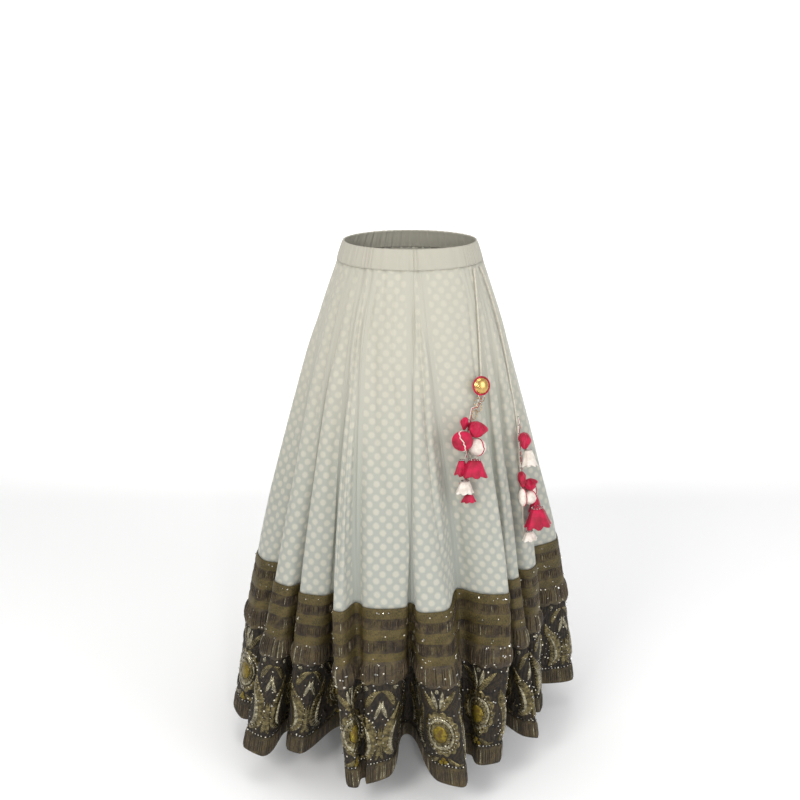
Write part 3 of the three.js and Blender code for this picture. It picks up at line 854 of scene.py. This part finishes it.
def turned_form(shape, radius, length, rows=16, sides=32):
    """A stuffed ball, crumpled petal or scalloped bell, from its top down: a grid of points."""
    s = np.linspace(0, 1, rows)[:, None]
    angle = around(sides)[None]
    phase = rng.uniform(0, 6)
    if shape == "ball":
        across = np.sin(s * math.pi) ** 0.9 * (1 + 0.025 * np.sin(5 * angle + phase + 3 * s))
        down = (1 - np.cos(s * math.pi)) / 2
    elif shape == "petal":
        crumple = 0.26 * np.sin(3 * angle + phase + 3 * s) + 0.12 * np.sin(7 * angle - 5 * s)
        across = np.sin(s**0.8 * math.pi) ** 0.7 * (1 + crumple) / 1.2
        down = s + 0.16 * np.sin(5 * angle + phase) * s**2 * (1 - s**4)
    else:
        lobe = np.abs(np.cos(BELL_LOBES * angle / 2 + phase))
        out = np.clip(s / BELL_OUTSIDE, 0, 1)
        back = np.clip((s - BELL_OUTSIDE) / (1 - BELL_OUTSIDE), 0, 1)
        outside = s <= BELL_OUTSIDE
        across = np.where(outside, 0.78 * out**0.3 + 0.22 * out**3, 0.94 * (1 - back) ** 0.8)
        across = across * (0.9 + 0.1 * lobe) ** (1 + 2 * out) * (s > 0)
        down = np.where(outside, out, 1 - 0.5 * back) * (1 - 0.12 * (1 - lobe) * out * (1 - back))
    x = radius * across * np.cos(angle)
    y = radius * FLATNESS * across * np.sin(angle)
    return np.stack([x, y, -length * down + 0 * x], -1)


def form_mesh(grid, flip=False):
    rows, sides = grid.shape[:2]
    faces = grid_faces(rows, sides, flip=flip, ring=True)
    s, angle = np.meshgrid(np.arange(rows) / rows, np.arange(sides) / sides, indexing="ij")
    return grid.reshape(-1, 3), faces, np.stack([angle * 0.05, s * 0.05], -1).reshape(-1, 2)


def add_beads(heap, points, radius, index=0, sides=8, rows=6):
    turns = np.linspace(0, math.pi, rows)
    ball = radius * np.stack([oval(np.sin(t), np.sin(t), sides, np.cos(t)) for t in turns])
    for point in points:
        heap.add(*form_mesh(point + ball), index)


def make_latkan(prefix, path, rows, strands, size, shift):
    """The stuffed pieces in a pink and an ivory mesh, and their piping, beads and strings."""
    stuffed = {"pink": Heap(), "ivory": Heap()}
    nodes = {"pink": [], "ivory": []}
    trims = Heap()
    for name, shape, radius, length, top, side, look in rows:
        point, axes = place_on(path, top)
        across, down = FULLNESS[shape]
        radius *= across * size
        off = DORI_DIAMETER / 2 + CLEARANCE + radius * FLATNESS
        origin = point + (side + shift) * axes[0] - off * axes[1]
        grid = turned_form(shape, radius, length * down)
        vertices, faces, uvs = form_mesh(grid)
        stuffed[look].add(origin + vertices @ axes, faces, uvs)
        if f"{prefix}_{name}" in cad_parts:
            nodes[look].append(f"{prefix}_{name}")
        if shape == "ball":
            column, lean, trim = PIPING[look]
            row = np.arange(len(grid))
            seam = grid[row, column + row * lean // 8] * (1.03, 1.05, 1)
            trims.add(*tube(origin + seam @ axes, PIPING_RADIUS), trim)
        if shape == "bell":
            out, low = BELL_BEAD_PLACE
            ring = oval(out * radius, out * FLATNESS * radius, BELL_BEADS, low * length)
            add_beads(trims, origin + ring @ axes, BEAD_RADIUS, SILVER_TRIM)
    for side, start, end, trim in strands:
        line = []
        for i, z in enumerate(np.linspace(start, end, 24)):
            point, axes = place_on(path, z)
            aside = side + STRAND_WAVE * math.sin(i * 0.7 + side) + shift * (z < start - 20)
            line.append(point + aside * axes[0] - STRAND_OFF * axes[1])
        trims.add(*tube(line, 0.8, 6, 2, 0.9), trim)
        add_beads(trims, line[2::5], BEAD_RADIUS, SILVER_TRIM)
    made = []
    for look, material, slot in (("pink", PINK, "pink_silk"), ("ivory", IVORY_WOOL, "ivory_pompom")):
        piece = stuffed[look].piece(f"{prefix}_{look}", [material], slot)
        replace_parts(piece, *nodes[look])
        made.append(piece)
    made.append(trims.piece(f"{prefix}_trims", [PINK, SILVER, IVORY_WOOL], "pink_silk"))
    return made


BUTTON_Z, BUTTON_SIDE = -256, -10
BUTTON_RADIUS, BUTTON_HEIGHT = 18, 11
BUTTON_TILT_ROOM = 5  # the button faces forwards, so its edge needs this room
BUTTON_PROFILE = [  # shares of its radius and height
    (0, 0), (0.8, 0), (0.97, 0.1), (1, 0.24), (0.94, 0.32), (0.88, 0.36), (0.8, 0.52), (0.66, 0.74),
    (0.48, 0.89), (0.25, 0.97), (0, 1),
]
BUTTON_SIDES = 40


def make_button(path):
    """The gilt dome on the front dori, with a ring of beads and a pink rim."""
    point, axes = place_on(path, BUTTON_Z)
    facing = unit(np.array([0.35, -1, 0.25]) - 0.25 * axes[1])
    across = unit(np.cross(facing, -axes[2]))
    turned = np.stack([across, np.cross(facing, across), facing])
    base = point + BUTTON_SIDE * axes[0] - (DORI_DIAMETER / 2 + BUTTON_TILT_ROOM) * axes[1]
    sizes = [(BUTTON_RADIUS * out, BUTTON_HEIGHT * rise) for out, rise in BUTTON_PROFILE]
    grid = np.stack([oval(out, out, BUTTON_SIDES, rise) for out, rise in sizes])
    heap = Heap()
    vertices, faces, uvs = form_mesh(grid, True)
    heap.add(base + vertices @ turned, faces, uvs)
    rim = oval(17, 17, BUTTON_SIDES, 3.6)
    heap.add(*tube(base + np.vstack([rim, rim[:1]]) @ turned, 1.7, 8), 1)
    add_beads(heap, base + oval(13.6, 13.6, 22, 6) @ turned, 1.1)
    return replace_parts(heap.piece("dori_button_dome", [GILT, PINK], "gilt_button"), "dori_button")


# Loops of beads under the button: height of the top, distance to the side, half width and look.
LOOPS = [(-262, -5, 5, 0), (-264, 5, 6, 1), (-276, -7, 6, 1), (-280, 4, 7, 0), (-294, -3, 6, 0)]


def add_loops(path):
    heap = Heap()
    angle = np.linspace(0, 2 * math.pi, 15)
    for top, side, width, index in LOOPS:
        point, axes = place_on(path, top)
        ring = np.stack([side + width * np.sin(angle), 0 * angle - 4.5, -9 + 9 * np.cos(angle)], -1)
        line = point + ring @ axes
        heap.add(*tube(line, 0.7), index)
        add_beads(heap, line[1:-1:2], 1.3, 1 - index)
    return heap.piece("dori_loops", [GILT, SILVER], "gilt_button")


front_hung = [make_button(front_path), add_loops(front_path)]
front_hung += make_latkan(
    "latkan_front", front_path, FRONT_LATKAN, FRONT_STRANDS, FRONT_SIZE, FRONT_SHIFT
)
side_hung = make_latkan("latkan_side", side_path, SIDE_LATKAN, SIDE_STRANDS, SIDE_SIZE, SIDE_SHIFT)

# ---- Ivory cloth ----
COLUMNS_PER_FOLD = 48
CLOTH_THICKNESS = 0.8


def set_values(piece, name, values):
    attribute = piece.data.attributes.new(name, "FLOAT", "POINT")
    attribute.data.foreach_set("value", np.asarray(values, np.float32).ravel())


def make_kali(i):
    name = f"kali_{i + 1:02d}"
    heights = np.linspace(BAND_BOTTOM + 1.5, BORDER_TOP + 0.3, 72)
    grid, normal = cloth_grid(i, 1, COLUMNS_PER_FOLD + 1, heights, 0, True)
    lengths = arc(grid)
    centred = lengths - lengths[:, -1:] / 2
    down = np.broadcast_to(drop(grid)[:, None], centred.shape)
    uvs = np.stack([centred, down], -1).reshape(-1, 2) * MM
    materials, slot = [IVORY_DOTTED], "ivory_dotted_cloth"
    piece = shell(f"{name}_cloth", grid, normal, CLOTH_THICKNESS, materials, uvs)
    seam = np.minimum(lengths, lengths[:, -1:] - lengths).ravel() * MM
    low = smooth(-120, -560, np.broadcast_to(heights[:, None], lengths.shape)).ravel()
    set_values(piece, "seam", [seam, seam])
    set_values(piece, "low", [low, low])
    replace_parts(piece, name)


for fold in range(FOLDS):
    make_kali(fold)

# ---- Waistband: a plain channel, gathered by its drawstring ----
BAND_THICKNESS = 2.2
PUCKERS = ((83, 0.3, 0.01, 0.55), (131, 2, -0.02, 0.4), (47, 4, 0.01, 0.5))  # waves, phase, drift, depth


def stitch_line(z, place, depth):
    return -depth * np.exp(-(((z - place) / 1.2) ** 2))


def make_waistband():
    u = np.linspace(0, CONTROLS, 300, endpoint=False)[None]
    z = np.linspace(-0.4, BAND_BOTTOM + 0.6, 15)[:, None]
    puckers = sum(
        depth * np.sin(waves * 2 * math.pi * u / CONTROLS + phase + drift * z)
        for waves, phase, drift, depth in PUCKERS
    )
    full = 0.8 * np.sin(np.clip((z + 1) / BAND_BOTTOM, 0, 1) * math.pi) ** 0.5
    stitches = stitch_line(z, BAND_BOTTOM + 4, 0.9) + stitch_line(z, -4, 0.6)
    grid, normal = on_cloth(u, z, 0.5 + full + puckers + stitches)
    lengths = arc(grid)
    uvs = np.stack([lengths, np.broadcast_to(-z, lengths.shape)], -1).reshape(-1, 2) * MM
    materials, slot = [IVORY_PLAIN], "ivory_dotted_cloth"
    piece = shell("waistband_cloth", grid, normal, BAND_THICKNESS, materials, uvs, ring=True)
    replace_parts(piece, "waistband")


# ---- Border: ground, lace and hem trim ----
def strip_starts(folds_each):
    return range(STRIPS_START_FOLD, STRIPS_START_FOLD + FOLDS, folds_each)


def make_strip(name, grid, normal, down, thickness, material):
    """A strip of the border; down is how far its rows are from its top edge, in mm."""
    lengths = arc(grid)
    uvs = np.stack([lengths, np.broadcast_to(down, lengths.shape)], -1).reshape(-1, 2) * MM
    piece = shell(f"{name}_cloth", grid, normal, thickness, [material], uvs)
    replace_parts(piece, name)


GROUND_THICKNESS, LACE_THICKNESS = 1.4, 0.8


def make_ground():
    heights = np.linspace(BORDER_TOP - 0.3, HEM + 0.5, 26)
    down = (BORDER_TOP - heights)[:, None]
    for i, first in enumerate(strip_starts(2)):
        grid, normal = cloth_grid(first, 2, 61, heights)
        name, slot = f"border_ground_{i + 1:02d}", "embroidered_border"
        make_strip(name, grid, normal, down, GROUND_THICKNESS, GROUND)


LACE_COLUMNS = 3 * COLUMNS_PER_FOLD + 1
RIBBON_RISE, RIBBON_EDGE = 1.3, 0.012
LACE_RIBBONS = ((0, 0.13), (0.28, 0.42), (0.59, 0.71))  # shares of the lace's height
PUFF_START = 0.71
SCALLOP_WIDTH = 27


def lace_rise(share, along_lace):
    """How far the lace stands off the cloth: raised ribbons, and a puffy scalloped lowest band."""
    rise = 0.9
    for start, end in LACE_RIBBONS:
        begun = smooth(start - RIBBON_EDGE, start + RIBBON_EDGE, share)
        not_ended = smooth(end + RIBBON_EDGE, end - RIBBON_EDGE, share)
        rise = rise + RIBBON_RISE * begun * not_ended
    puff = np.clip((share - PUFF_START) / (1 - PUFF_START), 0, 1)
    scallop = np.abs(np.sin(along_lace * math.pi / SCALLOP_WIDTH))
    return rise + 6.6 * np.sin(0.8 * math.pi * puff) * (0.7 + 0.3 * scallop)


def lace_fall(share, along_lace):
    """How far down the lace's points are: its lower edge is scalloped."""
    scallop = np.abs(np.sin(along_lace * math.pi / SCALLOP_WIDTH)) ** 0.7
    return share * LACE_HEIGHT + 5 * scallop * smooth(PUFF_START, 1, share) - 1


def place_lace(u, share, along_lace, lift=0.0):
    z = BORDER_TOP - lace_fall(share, along_lace)
    return on_cloth(u, z, lace_rise(share, along_lace) + lift)


FINE = np.linspace(0, CONTROLS, 5000)


def length_table(z):
    points = face(FINE, np.full(FINE.shape, float(z)))
    return np.concatenate([[0], np.cumsum(np.linalg.norm(np.diff(points, axis=0), axis=1))])


LACE_TABLE = length_table(BORDER_TOP - LACE_HEIGHT * 0.6)
FLORAL_TABLE = length_table((LACE_BOTTOM + TRIM_TOP) / 2)
TRIM_TABLE = length_table((TRIM_TOP + HEM) / 2)


def make_lace():
    shares = np.linspace(0, 1, 40)[:, None]
    for i, first in enumerate(strip_starts(3)):
        u = np.linspace(first, first + 3, LACE_COLUMNS)[None] * CONTROLS_PER_FOLD
        run = np.interp(u % CONTROLS, FINE, LACE_TABLE)
        grid, normal = place_lace(u, shares, run)
        name, slot, down = f"border_lace_{i + 1:02d}", "antique_gold_lace", shares * LACE_HEIGHT
        make_strip(name, grid, normal, down, LACE_THICKNESS, LACE)


def make_trim():
    heights = np.linspace(TRIM_TOP + 0.5, HEM - 0.5, 13)
    shares = np.linspace(0, 1, 13)[:, None]
    rise = 1.0 + 0.9 * np.sin(shares * math.pi) ** 0.6
    for i, first in enumerate(strip_starts(3)):
        grid, normal = cloth_grid(first, 3, LACE_COLUMNS, heights, rise)
        name, slot, down = f"hem_trim_{i + 1:02d}", "hem_lace", shares * TRIM_HEIGHT
        make_strip(name, grid, normal, down, LACE_THICKNESS, TRIM)


# ---- Small things sewn on in great numbers, each lot one joined mesh ----
BAR_SECTION = np.array([(-1, 0), (-0.55, 0.85), (0.55, 0.85), (1, 0)])
BAR_TAPER = np.array([0.55, 1, 1, 1, 0.55])[None, :, None]


def many(face, count, points):
    """One small thing's faces, repeated for a count of them with so many points each."""
    return (np.asarray(face)[None] + (np.arange(count) * points)[:, None, None]).reshape(-1, 4)


def bars(name, place, runs, starts, ends, width, lift, picks):
    """Raised bars of thread down the cloth, at lengths `runs` along it."""
    steps, columns = BAR_TAPER.size, len(BAR_SECTION)
    down = starts[:, None] + (ends - starts)[:, None] * np.linspace(0, 1, steps)
    across = runs[:, None, None] + BAR_SECTION[None, None, :, 0] * width * BAR_TAPER
    rise = lift + BAR_SECTION[None, None, :, 1] * width * 1.3 * BAR_TAPER + 0 * across
    points = place(across, np.broadcast_to(down[:, :, None], across.shape), rise)
    end = (steps - 1) * columns
    one = np.vstack([grid_faces(steps, columns), [(0, 3, 2, 1)], [range(end, end + columns)]])
    uv = np.stack(np.broadcast_arrays(down[:, :, None] * MM, 0 * across), -1).reshape(-1, 2)
    faces = many(one, len(runs), steps * columns)
    indices = np.repeat(picks, len(one))
    materials = [BUGLE, DARK_ZARI, PALE_ZARI]
    return make_piece(name, points.reshape(-1, 3), faces, materials, uv, indices)


def u_from(table, run):
    return np.interp(run % table[-1], table, FINE)


def on_lace(run, share, rise):
    """A point of the lace: rise is from the lace's face."""
    return place_lace(u_from(LACE_TABLE, run), share, run, rise)[0]


def on_border(run, z, rise):
    return on_cloth(u_from(FLORAL_TABLE, run), z, rise)[0]


def on_trim(run, z, rise):
    return on_cloth(u_from(TRIM_TABLE, run), z, rise)[0]


# The lace's bars: their first and last share of its height, their spacing and half width in mm.
LACE_BARS = [
    ("lace_bugles_upper", 0.145, 0.27, 4.6, 0.75),
    ("lace_bugles_lower", 0.435, 0.58, 4.6, 0.75),
    ("lace_puff_threads", 0.735, 0.97, 4.2, 0.9),
]
MISSING_BARS = 0.16
TRIM_SPACING = 4.4


def make_bars():
    for name, start, end, spacing, width in LACE_BARS:
        count = int(LACE_TABLE[-1] / spacing)
        keep = rng.random(count) > MISSING_BARS
        runs = (np.arange(count) * spacing + rng.uniform(-0.9, 0.9, count))[keep]
        starts = start + rng.uniform(0, 0.02, len(runs))
        ends = end - rng.uniform(0, 0.03, len(runs))
        picks = rng.choice(3, len(runs), p=(0.62, 0.3, 0.08))
        bars(name, on_lace, runs, starts, ends, width, 0.15, picks)
    count = int(TRIM_TABLE[-1] / TRIM_SPACING)
    runs = np.arange(count) * TRIM_SPACING + rng.uniform(-0.8, 0.8, count)
    starts = TRIM_TOP - rng.uniform(3, 5, count)
    ends = HEM + rng.uniform(2, 4, count)
    picks = rng.choice(3, count, p=(0.45, 0.45, 0.1))
    bars("hem_trim_threads", on_trim, runs, starts, ends, 0.8, 2.0, picks)


# ---- Embroidery: motifs drawn flat as x, y and height, then laid on the border ----
def disk(centre, radii, profile, sides, scallops=0, depth=0.0):
    """A raised oval with a scalloped rim: profile is radius shares and heights from the centre."""
    angle = np.linspace(0, 2 * math.pi, sides, endpoint=False)[None]
    share, rise = (np.array(column)[:, None] for column in zip(*profile))
    edge = 1 + depth * (np.abs(np.cos(scallops * angle / 2)) - 0.5) if scallops else 1 + 0 * angle
    out = share * np.where(share > 0.9, edge, 1)
    x = centre[0] + radii[0] * out * np.cos(angle)
    y = centre[1] + radii[1] * out * np.sin(angle)
    grid = np.stack([x, y, rise + 0 * angle], -1)
    rows = len(profile)
    uv = np.stack(np.broadcast_arrays(angle * 0.012, share * radii[0] * MM), -1).reshape(-1, 2)
    return grid.reshape(-1, 3), grid_faces(rows, sides, flip=True, ring=True), uv


def blade(spine, width, height, across, ridge):
    """A raised leaf or paisley along a spine of points: width is its half width down the spine."""
    spine = smooth_route(np.column_stack([np.array(spine, float), np.zeros(len(spine))]), 6)[:, :2]
    tangent = unit(np.gradient(spine, axis=0))
    side = np.stack([-tangent[:, 1], tangent[:, 0]], -1)
    t = np.linspace(-1, 1, across)[None]
    s = np.linspace(0, 1, len(spine))[:, None]
    half = width * np.sin(np.clip(s, 0, 1) ** 0.75 * math.pi) ** 0.75 + 0.15
    xy = spine[:, None] + side[:, None] * (t * half)[..., None]
    dome = np.sqrt(np.maximum(1 - t * t, 0)) * (1 - ridge * np.exp(-((t / 0.22) ** 2)))
    rise = height * dome * np.sqrt(half / width)
    grid = np.concatenate([xy, rise[..., None]], -1)
    uv = np.stack(np.broadcast_arrays(s * len(spine) * 0.002, t * 0.004), -1).reshape(-1, 2)
    return grid.reshape(-1, 3), grid_faces(len(spine), across), uv


MEDALLION_Y = -892
ZONE_TOP = LACE_BOTTOM - 4


MEDALLION = [  # finish, radii, profile, sides, scallops and their depth
    ("zari", (36, 47), [(1, 0.1), (0.95, 1.6), (0.85, 2.1), (0.76, 1.0), (0.74, 0.1)], 56, 14, 0.12),
    ("pale", (26.5, 35), [(1, 0.1), (0.95, 2.2), (0.84, 2.4), (0.78, 0.6)], 44, 0, 0),
    ("zari", (21, 28), [(1, 0.1), (0.94, 2.4), (0.7, 3.0), (0.62, 1.6)], 40, 10, 0.16),
    ("yellow", (13.5, 19), [(1, 0.1), (0.95, 2.2), (0.6, 3.6), (0.25, 4.1), (0, 4.2)], 28, 7, 0.1),
]
LEAVES = [  # finish, spine, half width, height, points across and the depth of its middle line
    ("zari", [(3, -842), (12, -828), (25, -812), (36, -801)], 6.5, 2.2, 7, 0.4),
    ("pale", [(2, -836), (6, -822), (9, -808), (10, -797)], 4.2, 1.9, 7, 0.3),
    ("dark", [(14, -838), (30, -832), (42, -820), (50, -806)], 5, 1.8, 7, 0.4),
    ("zari", [(50, -954), (66, -930), (64, -890), (50, -862), (44, -838)], 13, 3.2, 9, 0.25),
    ("pale", [(55, -945), (64, -926), (61, -896), (52, -872)], 5.5, 5.4, 5, 0),
    ("zari", [(58, -842), (64, -826), (74, -812), (86, -806)], 6, 2.0, 7, 0.4),
    ("dark", [(40, -950), (36, -940), (39, -930), (44, -920)], 4.5, 1.8, 7, 0),
    ("zari", [(8, -944), (16, -952), (27, -957), (38, -955)], 4.6, 2.0, 7, 0.3),
    ("pale", [(74, -866), (80, -850), (84, -838), (83, -826)], 4.2, 2.0, 7, 0.3),
    ("zari", [(78, -955), (83, -935), (84, -912), (82, -884)], 5.5, 2.4, 7, 0.4),
]
BUDS = [(0, -948), (-5.5, -955), (5.5, -955)]
DOTS = [(0, -800), (-60, -800), (60, -800)]


def motif_parts():
    """One repeat of the floral border: (finish, flat mesh) with x from the medallion's middle."""
    parts = [(finish, disk((0, MEDALLION_Y), *form)) for finish, *form in MEDALLION]
    for side in (1, -1):
        for finish, spine, *form in LEAVES:
            parts.append((finish, blade([(side * x, y) for x, y in spine], *form)))
    parts += [("yellow", disk(place, (4.4, 5), [(1, 0.1), (0.8, 1.6), (0, 2.4)], 12)) for place in BUDS]
    parts += [("pale", disk(place, (4.6, 5.4), [(1, 0.1), (0.8, 1.8), (0, 2.4)], 14)) for place in DOTS]
    return parts


REPEAT_WIDTH = 172
MEDALLION_FOLD = 4.46  # a medallion lies on the middle front fold


def motif_starts():
    """Where the repeats' middles are, as lengths along the border, and one repeat's width."""
    count = round(FLORAL_TABLE[-1] / REPEAT_WIDTH)
    step = FLORAL_TABLE[-1] / count
    front = np.interp(MEDALLION_FOLD * CONTROLS_PER_FOLD, FINE, FLORAL_TABLE)
    return front + np.arange(count) * step, step / REPEAT_WIDTH


def make_embroidery():
    finishes = {"zari": ZARI, "pale": PALE_ZARI, "yellow": YELLOW_ZARI, "dark": DARK_ZARI}
    starts, stretch = motif_starts()
    by_finish = {key: Heap() for key in finishes}
    for key, (points, faces, uvs) in motif_parts():
        for start in starts:
            jitter = rng.uniform(-1.5, 1.5, 2)
            run = start + (points[:, 0] + jitter[0]) * stretch
            laid = on_border(run, points[:, 1] + jitter[1] * 0.5, points[:, 2])
            by_finish[key].add(laid, faces, uvs)
    for key, heap in by_finish.items():
        heap.piece(f"embroidery_{key}", [finishes[key]], "embroidered_border")


LOOSE_SEQUINS, LACE_SEQUINS = 1700, 900
SEQUIN_ROWS = (0.06, 0.35, 0.65, 0.74, 0.85, 0.95, 0.98)  # shares of the lace's height


def make_sequins():
    """Sequins and beads: around each motif, along the lace, and scattered."""
    starts, stretch = motif_starts()
    medallion = [oval(29.5, 39, 30), oval(16.5, 22.5, 20)]
    flat = np.vstack([
        *[ring[:, :2] + (0, MEDALLION_Y) for ring in medallion],
        *[oval(18, 40, 18)[:, :2] + (x, -905) for x in (62, -62)],
        np.column_stack([np.linspace(-82, 82, 26), np.full(26, -959.5)]),
    ])
    border = [(start + x * stretch, y, 1.6) for start in starts for x, y in flat]
    scattered = np.column_stack([
        rng.uniform(0, FLORAL_TABLE[-1], LOOSE_SEQUINS),
        rng.uniform(TRIM_TOP + 4, ZONE_TOP, LOOSE_SEQUINS),
        rng.uniform(1, 3.4, LOOSE_SEQUINS),
    ])
    border = np.vstack([border, scattered])
    size = rng.uniform(0.8, 1.9, len(border))
    on_floral = scatter_disks(on_border, border, size)
    lace = np.column_stack([
        rng.uniform(0, LACE_TABLE[-1], LACE_SEQUINS),
        rng.choice(SEQUIN_ROWS, LACE_SEQUINS) + rng.uniform(-0.02, 0.02, LACE_SEQUINS),
        rng.uniform(0.7, 1.2, LACE_SEQUINS),
    ])
    on_band = scatter_disks(on_lace, lace, rng.uniform(0.8, 1.7, LACE_SEQUINS))
    for name, (points, faces, count) in (("border_sequins", on_floral), ("lace_sequins", on_band)):
        picks = rng.choice(2, count, p=(0.6, 0.4))
        indices = np.repeat(picks, len(faces) // count)
        uvs = np.zeros((len(points), 2))
        make_piece(name, points, faces, [SEQUIN, SILVER], uvs, indices, 25)


def scatter_disks(place, spots, sizes, sides=6):
    """Small cupped disks on the cloth, each tipped a little at random."""
    count = len(spots)
    angle = np.linspace(0, 2 * math.pi, sides, endpoint=False)
    tip = rng.uniform(-0.45, 0.45, (count, 2, 1))
    rings = []
    for share, rise in ((0.25, 0.35), (1, 0.3), (1, 0)):
        x = share * np.cos(angle)[None] * sizes[:, None]
        y = share * np.sin(angle)[None] * sizes[:, None]
        rings.append(np.stack([x, y, rise + tip[:, 0] * x + tip[:, 1] * y], -1))
    local = np.stack(rings, 1)
    down = local[..., 1] if place is on_border else -local[..., 1] / LACE_HEIGHT
    run, height, rise = spots.T[:, :, None, None]
    points = place(run + local[..., 0], height + down, rise + local[..., 2])
    one = np.vstack([grid_faces(3, sides, ring=True), [(0, 1, 2, 3), (0, 3, 4, 5)]])
    return points.reshape(-1, 3), many(one, count, 3 * sides), count


make_waistband()
make_ground()
make_lace()
make_trim()
make_bars()
make_embroidery()
make_sequins()

# ---- Stage: a pale floor, a bright even world and soft lights from the front and above ----
FLOOR_Z = -1.074


FLOOR_SIZE, BEND_START, BEND_RADIUS, WALL_TOP = 5, 1.8, 1.5, 3.5


def make_floor():
    """A pale floor that bends up into a wall behind."""
    nodes = Nodes("pale_floor", 0.9)
    tint = nodes.noise(nodes.object_place(), 0.8, 2)
    nodes.set("Base Color", nodes.mix(tint, (0.93, 0.93, 0.93), (0.97, 0.97, 0.97)))
    bend_end = BEND_START + BEND_RADIUS
    depths = [-FLOOR_SIZE, *np.linspace(BEND_START, bend_end, 16), bend_end]
    rises = [0, *(BEND_RADIUS * (1 - np.cos(np.linspace(0, math.pi / 2, 16)))), WALL_TOP]
    vertices = [(x, y, FLOOR_Z + z) for y, z in zip(depths, rises) for x in (-FLOOR_SIZE, FLOOR_SIZE)]
    mesh = bpy.data.meshes.new("floor")
    mesh.from_pydata(vertices, [], grid_faces(len(rises), 2).tolist())
    mesh.polygons.foreach_set("use_smooth", [True] * len(mesh.polygons))
    mesh.materials.append(nodes.material)
    floor = bpy.data.objects.new("floor", mesh)
    bpy.context.scene.collection.objects.link(floor)


# Name, place, target, size, power and colour.
LIGHTS = [
    ("key", (-1.5, -2.4, 1.3), (0, 0, -0.4), (1, 1), 37, (1, 0.985, 0.96)),
    ("fill", (2.2, -1.8, 0.5), (0, 0, -0.5), (1.5, 2), 23, (0.97, 0.98, 1)),
    ("top", (0, -0.3, 2.2), (0, 0, -0.5), (1.5, 1.5), 14, (1, 1, 1)),
    ("backdrop", (0, 1.1, 0.6), (0, 3.2, 0.6), (3, 1.6), 34, (1, 1, 1)),
    ("sparkle", (0.3, -2.5, 0.35), (0, 0, -0.8), (0.2, 0.2), 8, (1, 1, 1)),
]
WORLD_STRENGTH = 0.69


def add_light(name, place, target, size, power, color):
    light = bpy.data.lights.new(name, "AREA")
    light.shape = "RECTANGLE"
    light.size, light.size_y = size
    light.energy = power
    light.color = color
    lamp = bpy.data.objects.new(name, light)
    lamp.location = place
    lamp.rotation_euler = (Vector(target) - Vector(place)).to_track_quat("-Z", "Y").to_euler()
    bpy.context.scene.collection.objects.link(lamp)


make_floor()
for light_row in LIGHTS:
    add_light(*light_row)
world = bpy.data.worlds.new("world")
world.use_nodes = True
background = world.node_tree.nodes["Background"]
background.inputs["Color"].default_value = (1, 1, 1, 1)
background.inputs["Strength"].default_value = WORLD_STRENGTH
bpy.context.scene.world = world
bpy.context.scene.view_settings.view_transform = "Standard"
